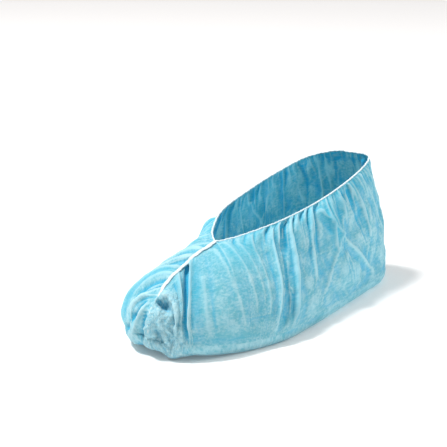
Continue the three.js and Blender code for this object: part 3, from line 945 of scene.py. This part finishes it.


# %% Material: the blue cloth
# SKY is the cloth itself, PALE its pale clouds and threads and the painted highlight on ridges, crests and
# the toe's bunch, CLEAR where it stands off the boot, DEEP the painted shade in hollows, pinches and cracks
SKY_BLUE = (0.17, 0.58, 0.68, 1.0)
PALE_AND_HIGHLIGHT_BLUE = (0.66, 0.90, 0.94, 1.0)
CLEAR_BLUE = (0.04, 0.59, 0.76, 1.0)
PAINTED_SHADE_BLUE = (0.025, 0.52, 0.75, 1.0)


def cloth_colour(tree, felt, grain, bunch):
    """The blue from clouds, grain, threads and the lie of the cloth, with painted shade in hollows and
    pinches and painted highlights on ridges, crests and the toe's bunch, without the cracks of the bunch.
    """
    fold, crease, loose = (attribute_node(tree, name) for name in ("fold", "crease", "loose"))
    # painted shade from the hollows of the folds, painted highlight from their ridges
    deep = times(tree, math_node(tree, "MINIMUM", fold, 0.0), -1.0)
    ridge = math_node(tree, "MAXIMUM", fold, 0.0)
    specks = times(tree, math_node(tree, "SUBTRACT", grain, 0.5), 1.5)
    clouds = math_node(tree, "ADD", lifted(tree, felt.outputs["Clouds"], 0.35, 1.6), specks, clamp=True)
    base = mix_color(tree, clouds, SKY_BLUE, PALE_AND_HIGHLIGHT_BLUE)
    # painted shade deepens the blue in the hollows, then a painted highlight pales the ridges
    base = mix_color(tree, times(tree, deep, 1.1, clamp=True), base, PAINTED_SHADE_BLUE)
    base = mix_color(tree, times(tree, ridge, 0.6, clamp=True), base, PALE_AND_HIGHLIGHT_BLUE)
    loose = times(tree, math_node(tree, "MAXIMUM", loose, 0.0), 0.95, clamp=True)
    base = mix_color(tree, loose, base, CLEAR_BLUE)
    # painted highlight over the toe's bunch, speckled by the cloth's grain
    bunch_highlight = math_node(tree, "ADD", lifted(tree, grain, 0.42, 3.0), 0.35)
    base = mix_color(tree, times(tree, bunch_highlight, times(tree, bunch, 0.85)), base, PALE_AND_HIGHLIGHT_BLUE)
    # painted highlight on the crests of the fine creases, painted shade in their pinches
    crease_highlight = times(tree, math_node(tree, "MAXIMUM", crease, 0.0), 0.40, clamp=True)
    base = mix_color(tree, crease_highlight, base, PALE_AND_HIGHLIGHT_BLUE)
    crease_shade = times(tree, math_node(tree, "MINIMUM", crease, 0.0), -0.35, clamp=True)
    base = mix_color(tree, crease_shade, base, PAINTED_SHADE_BLUE)
    return mix_color(tree, lifted(tree, felt.outputs["Threads"], 0.55, 1.2), base, PALE_AND_HIGHLIGHT_BLUE)


CRUMPLE_SCALE, CRUMPLE_WARP = 190.0, 0.006


def crumple_edges(tree):
    """0 on the cracks between small warped facets and 1 inside them, for the toe's bunch."""
    place = add_node(tree, "ShaderNodeTexCoord").outputs["Object"]
    shift = add_node(tree, "ShaderNodeVectorMath", operation="MULTIPLY_ADD")
    tree.links.new(noise_node(tree, place, 120.0, 2.0, 0.6), shift.inputs[0])
    shift.inputs[1].default_value = (CRUMPLE_WARP,) * 3
    tree.links.new(place, shift.inputs[2])
    cells = add_node(tree, "ShaderNodeTexVoronoi", feature="DISTANCE_TO_EDGE")
    cells.inputs["Scale"].default_value = CRUMPLE_SCALE
    tree.links.new(shift.outputs[0], cells.inputs["Vector"])
    return times(tree, cells.outputs["Distance"], 4.0, clamp=True)


GLOW_SHARE = 0.38  # of the light that meets the cloth, the part that goes through


def make_blue_cloth():
    material = bpy.data.materials.new("blue_spunbond")
    material.use_nodes = True
    tree = material.node_tree
    tree.nodes.clear()
    sheet_map = add_node(tree, "ShaderNodeUVMap", uv_map="flat_sheet").outputs[0]
    felt = add_node(tree, "ShaderNodeGroup", node_tree=thread_felt)
    tree.links.new(sheet_map, felt.inputs["Vector"])
    dots = add_node(tree, "ShaderNodeGroup", node_tree=bond_dots)
    tree.links.new(sheet_map, dots.inputs["Vector"])
    grain = noise_node(tree, sheet_map, 380.0, 2.0, 0.6, 0.2)
    bunch = attribute_node(tree, "bunch")
    base = cloth_colour(tree, felt, grain, bunch)
    edge = crumple_edges(tree)
    # painted shade in the cracks between the toe's crumpled facets
    crack_shade = times(tree, math_node(tree, "SUBTRACT", 1.0, edge), bunch)
    base = mix_color(tree, times(tree, times(tree, crack_shade, crack_shade), 0.28, clamp=True), base, PAINTED_SHADE_BLUE)
    bunch_bump = bump_node(tree, times(tree, edge, bunch), 0.6, 0.0009)
    small_crinkle = noise_node(tree, stretched(tree, sheet_map, 1.0, 0.3), 330.0, 3.0, 0.6, 0.6)
    crinkle_bump = bump_node(tree, small_crinkle, 0.7, 0.0009, bunch_bump)
    relief = math_node(tree, "SUBTRACT", felt.outputs["Threads"], times(tree, dots.outputs[0], 0.8))
    bump = bump_node(tree, relief, 0.35, 0.0002, crinkle_bump)
    surface = add_node(tree, "ShaderNodeBsdfPrincipled")
    surface.inputs["Roughness"].default_value = 0.62
    surface.inputs["Specular IOR Level"].default_value = 0.3
    surface.inputs["Sheen Weight"].default_value = 0.25
    surface.inputs["Sheen Roughness"].default_value = 0.5
    glow = add_node(tree, "ShaderNodeBsdfTranslucent")
    for socket in (surface.inputs["Base Color"], glow.inputs["Color"]):
        tree.links.new(base, socket)
    for shader in (surface, glow):
        tree.links.new(bump, shader.inputs["Normal"])
    mixed = add_node(tree, "ShaderNodeMixShader")
    mixed.inputs[0].default_value = GLOW_SHARE
    tree.links.new(surface.outputs[0], mixed.inputs[1])
    tree.links.new(glow.outputs[0], mixed.inputs[2])
    output = add_node(tree, "ShaderNodeOutputMaterial")
    tree.links.new(mixed.outputs[0], output.inputs["Surface"])
    return material


blue_cloth = make_blue_cloth()
print(blue_cloth.name, "has", len(blue_cloth.node_tree.nodes), "nodes")
cover.data.materials.clear()
cover.data.materials.append(blue_cloth)


# %% Material: white thread and elastic
def make_white_thread():
    material = bpy.data.materials.new("white_thread")
    material.use_nodes = True
    tree = material.node_tree
    surface = tree.nodes["Principled BSDF"]
    place = add_node(tree, "ShaderNodeTexCoord").outputs["Object"]
    felt = add_node(tree, "ShaderNodeGroup", node_tree=thread_felt)
    tree.links.new(place, felt.inputs["Vector"])
    base = mix_color(tree, felt.outputs["Clouds"], (0.60, 0.74, 0.78, 1), (0.86, 0.89, 0.89, 1))
    tree.links.new(base, surface.inputs["Base Color"])
    tree.links.new(bump_node(tree, felt.outputs["Threads"], 0.5, 0.0002), surface.inputs["Normal"])
    surface.inputs["Roughness"].default_value = 0.7
    surface.inputs["Sheen Weight"].default_value = 0.2
    return material


white_thread = make_white_thread()
print(white_thread.name, "has", len(white_thread.node_tree.nodes), "nodes")


# %% [markdown]
# ## The hem and the seam
# Both are overlocked: the cloth's edge is wrapped in loops of white thread. The hem holds the elastic
# too, and it puckers a little at every stitch. Each is a cord of small, slightly uneven section, laid along
# its line, and the loops are put on by Geometry Nodes afterwards.

# %% A cord of uneven section along a line of frames
def frames_along(points, normals, closed):
    if closed:
        tangent = np.roll(points, -1, axis=0) - np.roll(points, 1, axis=0)
    else:
        tangent = np.gradient(points, axis=0)
    tangent /= np.linalg.norm(tangent, axis=1, keepdims=True)
    out = normals - (normals * tangent).sum(axis=1, keepdims=True) * tangent
    out /= np.linalg.norm(out, axis=1, keepdims=True)
    return tangent, out, np.cross(out, tangent)


def cord_mesh(name, points, normals, across, deep, closed, sides=12, uneven=0.12, seed=1):
    tangent, out, flat = frames_along(points, normals, closed)
    draw = np.random.default_rng(seed)
    wobble = 1 + uneven * draw.uniform(-1, 1, (len(points), sides))
    angle = np.arange(sides) / sides * 2 * math.pi
    ring = (
        points[:, None] + flat[:, None] * (np.cos(angle)[None, :] * across[:, None] / 2 * wobble)[..., None]
        + out[:, None] * (np.sin(angle)[None, :] * deep[:, None] / 2 * wobble)[..., None]
    )
    count = len(points)
    faces = []
    for i in range(count if closed else count - 1):
        following = (i + 1) % count
        for k in range(sides):
            beside = (k + 1) % sides
            near_edge = (i * sides + k, i * sides + beside)
            faces.append((*near_edge, following * sides + beside, following * sides + k))
    if not closed:
        faces.append(tuple(range(sides))[::-1])
        faces.append(tuple((count - 1) * sides + k for k in range(sides)))
    piece = new_object(name, ring.reshape(-1, 3) * MM, faces)
    make_normals_outward(piece)
    shade_smooth(piece)
    piece.data.materials.append(white_thread)
    return piece


def make_normals_outward(piece):
    bm = bmesh.new()
    bm.from_mesh(piece.data)
    bmesh.ops.recalc_face_normals(bm, faces=bm.faces)
    bm.to_mesh(piece.data)
    bm.free()


# %% The hem
HEM_STEPS = 900
HEM_ACROSS, HEM_DEEP = 1.15, 1.1
hem_turn = np.arange(HEM_STEPS) / HEM_STEPS
hem_share = np.where(hem_turn < 0.5, hem_turn * 2, 2 - hem_turn * 2)
hem_points = np.where((hem_turn < 0.5)[:, None], rim_line[1].at(hem_share), rim_line[-1].at(hem_share))
rim_columns = np.where(ring_around >= SEAM_SHARE - NUDGE)[0]


SMOOTHING = 20


def nearest_normals(points, normals_row):
    """The cloth's normals at the hem's points, smoothed so that the cord doesn't twist."""
    edge = cloth[rim_columns, 0]
    near = np.argmin(np.linalg.norm(points[:, None] - edge[None], axis=2), axis=1)
    normal = normals_row[rim_columns][near]
    for _ in range(SMOOTHING):
        normal = normal + np.roll(normal, 1, axis=0) + np.roll(normal, -1, axis=0)
        normal /= np.linalg.norm(normal, axis=1, keepdims=True)
    return normal


hem_normals = nearest_normals(hem_points, form_normal[:, 2])
hem_tangent, hem_out, hem_flat = frames_along(hem_points, hem_normals, True)
hem_up = hem_flat * np.sign(hem_flat[:, 2:3] + NUDGE)
HEM_LIFT = 0.42  # the cord sits on the cloth's edge by this share of its width
round_turn = hem_turn * 2 * math.pi
pucker = np.sin(round_turn * 118) * 0.22 + np.sin(round_turn * 47 + 1) * 0.15
hem_centre = hem_points + hem_up * HEM_ACROSS * HEM_LIFT
hem_centre += hem_out * (pucker[:, None] - CLOTH_THICKNESS / MM / 2)
hem = cord_mesh(
    "elastic_hem", hem_centre, hem_normals, np.full(HEM_STEPS, HEM_ACROSS), np.full(HEM_STEPS, HEM_DEEP),
    True, 12, 0.10, 4,
)
print("hem:", len(hem.data.polygons), "faces")

# %% The seam's path and its normals
SEAM_STEPS = 420
SEAM_ACROSS, SEAM_DEEP = 3.2, 1.1
seam_share = np.linspace(0.0, 0.99, SEAM_STEPS)
seam_points = seam_line.at(seam_share)
seam_column = np.interp(seam_share, side_around[:SEAM_COLUMNS + 1] / SEAM_SHARE, np.arange(SEAM_COLUMNS + 1))
left_normals = form_normal[:SEAM_COLUMNS + 1, 2]
mirror_columns = (len(form) - np.arange(SEAM_COLUMNS + 1)) % len(form)
right_normals = form_normal[mirror_columns, 2]
both = left_normals + right_normals
columns_along = np.arange(SEAM_COLUMNS + 1)
seam_normals = np.stack([np.interp(seam_column, columns_along, both[:, k]) for k in range(3)], -1)
STEADY_SHARE = 0.06  # at the toe's foot the normals wander, so the next steady one is used
seam_normals[seam_share < STEADY_SHARE] = seam_normals[np.argmax(seam_share >= STEADY_SHARE)]
# %% The seam's ridge
SEAM_FROM, SEAM_RISE = 0.34, 0.08  # shares of the line; below, the ridge has sunk into the toe's folds
seam_shown = np.clip((seam_share - SEAM_FROM) / SEAM_RISE, 0, 1)
seam_width = SEAM_ACROSS * (0.24 + 0.61 * seam_shown + 0.15 * seam_share)
# two slow waves that don't meet again make the width and the path uneven, as a hand-guided seam is
seam_width *= 1 + 0.18 * np.sin(seam_share * 97) * np.sin(seam_share * 41 + 1)
seam_wander = np.sin(seam_share * 61) * 0.25 + np.sin(seam_share * 23 + 2) * 0.4
seam_tangent, seam_out, seam_flat = frames_along(seam_points, seam_normals, False)
SEAM_PROUD, SEAM_SUNK = 0.5, 0.30  # how far its middle is above or below the cloth, in its own depths
seam_height = SEAM_DEEP * (SEAM_PROUD * seam_shown - SEAM_SUNK * (1 - seam_shown))
seam_centre = seam_points + seam_out * seam_height[:, None] + seam_flat * seam_wander[:, None]
seam = cord_mesh(
    "instep_seam_ridge", seam_centre, seam_normals, seam_width, seam_width * SEAM_DEEP / SEAM_ACROSS,
    False, 12, 0.14, 9,
)
print("seam:", len(seam.data.polygons), "faces")

# %% [markdown]
# ## Overlock loops
# The same stitch repeats hundreds of times, which is what Geometry Nodes are for. The tree gets a cloud of
# points, each with the line's direction and the cloth's outward direction, turns a small loop of thread
# to them and lays one at each. The seed and the sizes are inputs of the tree.

# %% The stitch tree
LOOP_SIDES, THREAD_SIDES = 12, 5
LEAST_TILT, MOST_TILT = (-0.12, -0.15, 0.15), (0.12, 0.15, 0.65)  # in radians: loops all lean one way


def make_stitch_tree():
    tree = bpy.data.node_groups.new("overlock_loops", "GeometryNodeTree")
    face = tree.interface
    face.new_socket(name="Points", in_out="INPUT", socket_type="NodeSocketGeometry")
    for label, value in (("Loop Width", 0.003), ("Loop Height", 0.002), ("Thread Radius", 0.00016)):
        face.new_socket(name=label, in_out="INPUT", socket_type="NodeSocketFloat").default_value = value
    face.new_socket(name="Seed", in_out="INPUT", socket_type="NodeSocketInt").default_value = 1
    face.new_socket(name="Thread", in_out="INPUT", socket_type="NodeSocketMaterial")
    face.new_socket(name="Loops", in_out="OUTPUT", socket_type="NodeSocketGeometry")
    given = tree.nodes.new("NodeGroupInput")
    result = tree.nodes.new("NodeGroupOutput")
    link = tree.links.new

    circle = tree.nodes.new("GeometryNodeCurvePrimitiveCircle")
    circle.inputs["Resolution"].default_value = LOOP_SIDES
    circle.inputs["Radius"].default_value = 0.5
    section = tree.nodes.new("GeometryNodeCurvePrimitiveCircle")
    section.inputs["Resolution"].default_value = THREAD_SIDES
    link(given.outputs["Thread Radius"], section.inputs["Radius"])
    size = tree.nodes.new("ShaderNodeCombineXYZ")
    link(given.outputs["Loop Width"], size.inputs["X"])
    link(given.outputs["Loop Height"], size.inputs["Y"])
    size.inputs["Z"].default_value = 1.0
    shaped = tree.nodes.new("GeometryNodeTransform")
    link(circle.outputs["Curve"], shaped.inputs["Geometry"])
    link(size.outputs[0], shaped.inputs["Scale"])
    upright = tree.nodes.new("GeometryNodeTransform")
    upright.inputs["Rotation"].default_value = (math.pi / 2, 0.0, math.pi / 2)
    link(shaped.outputs[0], upright.inputs["Geometry"])
    thread = tree.nodes.new("GeometryNodeCurveToMesh")
    link(upright.outputs[0], thread.inputs["Curve"])
    link(section.outputs["Curve"], thread.inputs["Profile Curve"])

    def named(name, data_type):
        node = tree.nodes.new("GeometryNodeInputNamedAttribute")
        node.data_type = data_type
        node.inputs["Name"].default_value = name
        return node.outputs["Attribute"]

    turn = tree.nodes.new("FunctionNodeAxesToRotation")
    turn.primary_axis = "Z"
    turn.secondary_axis = "X"
    link(named("outwards", "FLOAT_VECTOR"), turn.inputs["Primary Axis"])
    link(named("along", "FLOAT_VECTOR"), turn.inputs["Secondary Axis"])
    tilt = tree.nodes.new("FunctionNodeRandomValue")
    tilt.data_type = "FLOAT_VECTOR"
    tilt.inputs[0].default_value = LEAST_TILT
    tilt.inputs[1].default_value = MOST_TILT
    link(given.outputs["Seed"], tilt.inputs["Seed"])
    lean = tree.nodes.new("FunctionNodeRotateRotation")
    lean.rotation_space = "LOCAL"
    link(turn.outputs[0], lean.inputs["Rotation"])
    link(tilt.outputs[0], lean.inputs["Rotate By"])
    place = tree.nodes.new("GeometryNodeInstanceOnPoints")
    link(given.outputs["Points"], place.inputs["Points"])
    link(thread.outputs[0], place.inputs["Instance"])
    link(lean.outputs[0], place.inputs["Rotation"])
    link(named("size", "FLOAT"), place.inputs["Scale"])
    real = tree.nodes.new("GeometryNodeRealizeInstances")
    link(place.outputs[0], real.inputs["Geometry"])
    finish = tree.nodes.new("GeometryNodeSetMaterial")
    link(real.outputs[0], finish.inputs["Geometry"])
    link(given.outputs["Thread"], finish.inputs["Material"])
    link(finish.outputs[0], result.inputs["Loops"])
    return tree


stitch_tree = make_stitch_tree()


def stitches(name, points, along, outwards, size, width, height, radius, seed):
    piece = new_object(name, points * MM, [])
    for label, vectors in (("along", along), ("outwards", outwards)):
        attribute = piece.data.attributes.new(label, "FLOAT_VECTOR", "POINT")
        attribute.data.foreach_set("vector", np.ascontiguousarray(vectors).ravel())
    attribute = piece.data.attributes.new("size", "FLOAT", "POINT")
    attribute.data.foreach_set("value", size)
    modifier = piece.modifiers.new("loops", "NODES")
    modifier.node_group = stitch_tree
    given = {
        "Loop Width": width * MM, "Loop Height": height * MM, "Thread Radius": radius * MM,
        "Seed": seed, "Thread": white_thread,
    }
    for socket in stitch_tree.interface.items_tree:
        if socket.in_out == "INPUT" and socket.name in given:
            modifier[socket.identifier] = given[socket.name]
    apply_modifiers(piece)
    shade_smooth(piece)
    print(name, len(points), "loops,", len(piece.data.polygons), "faces")
    return piece


# each loop is a little larger than the cord that it goes round
hem_pick = np.arange(0, HEM_STEPS, 4)
hem_loops = stitches(
    "hem_overlock_loops", hem_centre[hem_pick], hem_tangent[hem_pick], hem_out[hem_pick],
    np.ones(len(hem_pick)), HEM_ACROSS * 1.18, HEM_DEEP * 1.22, 0.17, 3,
)
seam_pick = np.arange(4, SEAM_STEPS - 2, 6)
seam_loops = stitches(
    "seam_overlock_loops", seam_centre[seam_pick], seam_tangent[seam_pick], seam_out[seam_pick],
    0.15 + 0.85 * seam_width[seam_pick] / SEAM_ACROSS, SEAM_ACROSS * 1.2, SEAM_DEEP * 1.2, 0.18, 8,
)

# %% [markdown]
# ## Floor and light
# A cover like this is shown on white, under a wide soft light from the front and above, with a faint shadow
# under it. The world gives the white; one large lamp gives the form; a weaker one from behind makes
# the thin cloth glow.

# %% Floor
FLOOR_SIZE = 12.0
FLOOR_CORNERS = [(-FLOOR_SIZE, -FLOOR_SIZE), (FLOOR_SIZE, -FLOOR_SIZE), (FLOOR_SIZE, FLOOR_SIZE),
                 (-FLOOR_SIZE, FLOOR_SIZE)]
floor = new_object("floor", [(x, y, FLOOR_Z * MM) for x, y in FLOOR_CORNERS], [(0, 1, 2, 3)])
floor_material = bpy.data.materials.new("white_floor")
floor_material.use_nodes = True
floor_surface = floor_material.node_tree.nodes["Principled BSDF"]
floor_surface.inputs["Base Color"].default_value = (0.95, 0.93, 0.92, 1)
floor_surface.inputs["Roughness"].default_value = 0.6
floor_surface.inputs["Emission Color"].default_value = (1.0, 0.985, 0.97, 1)
floor_surface.inputs["Emission Strength"].default_value = 0.08
floor.data.materials.append(floor_material)

# %% World and lamps
world = bpy.data.worlds.new("white_room")
bpy.context.scene.world = world
world.use_nodes = True
SEEN_WHITE, ROOM_LIGHT = 1.0, 0.50  # the backdrop as it is seen, and as it lights the cloth
room = world.node_tree
backdrop = room.nodes["Background"]
backdrop.inputs["Color"].default_value = (1.0, 1.0, 1.0, 1)
sight = add_node(room, "ShaderNodeLightPath").outputs["Is Camera Ray"]
strength = math_node(room, "ADD", times(room, sight, SEEN_WHITE - ROOM_LIGHT), ROOM_LIGHT)
room.links.new(strength, backdrop.inputs["Strength"])
bpy.context.scene.view_settings.view_transform = "Standard"


# %% Lamps: they point at the origin
def area_lamp(name, place, size, power):
    data = bpy.data.lights.new(name, "AREA")
    data.shape = "RECTANGLE"
    data.size, data.size_y = size
    data.energy = power
    lamp = bpy.data.objects.new(name, data)
    lamp.location = place
    direction = -np.array(place) / np.linalg.norm(place)
    lamp.rotation_euler = (math.acos(-direction[2]), 0, math.atan2(direction[0], -direction[1]) + math.pi)
    bpy.context.scene.collection.objects.link(lamp)
    print(name, power, "watts at", place)


area_lamp("key", (-0.7, -0.6, 2.0), (0.5, 0.5), 60)
area_lamp("back_light", (1.5, 1.3, 1.0), (0.6, 0.6), 15)

# %% [markdown]
# ## Taking the CAD parts' places
# The cloth stands for the CAD shell, the hem and its loops for the elastic, the seam and its loops for the
# seam's ridge.

# %% Riding and replacing
PIECES = {
    "cover_body": ([cover], "nonwoven_cloth"),
    "opening_elastic": ([hem, hem_loops], "white_trim"),
    "instep_seam": ([seam, seam_loops], "white_trim"),
}
for node, (pieces, slot) in PIECES.items():
    for piece in pieces:
        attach(piece, "root")
        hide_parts(node)
